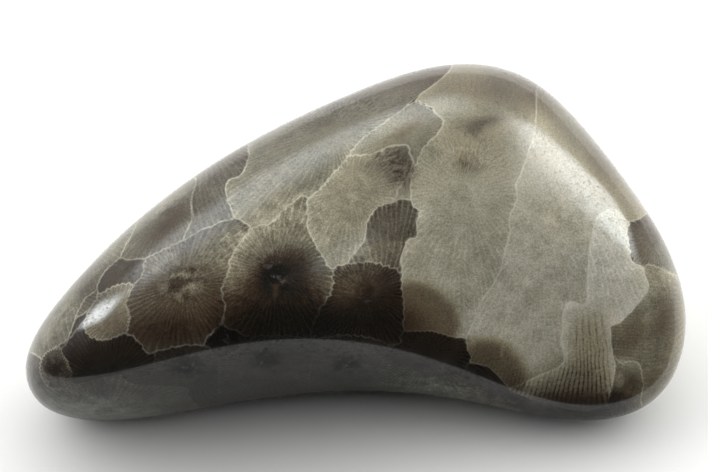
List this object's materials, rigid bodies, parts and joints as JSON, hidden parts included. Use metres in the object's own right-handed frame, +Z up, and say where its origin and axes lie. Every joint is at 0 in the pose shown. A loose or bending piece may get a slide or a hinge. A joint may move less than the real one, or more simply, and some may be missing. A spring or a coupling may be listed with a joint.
{
  "type": "petoskey stone",
  "caption": "Polished pebble of fossil colony coral, kidney-shaped, with radiating coral cells over its whole surface; a loose ornament that lies on a flat sole.",
  "frame": {"origin": "middle of the stone's box, at the level of the sole that it lies on", "axes": "+X along the length towards the broad end, +Y away from the hollow side, +Z up from the sole"},
  "size_m": [0.075, 0.0424, 0.0218],
  "materials": {
    "polished_coral": "tumble-polished fossil coral limestone, taupe to dark brown, with fine radiating lines and pale cell walls"
  },
  "bodies": {
    "root": {"stone": "polished_coral"}
  },
  "joints": []
}
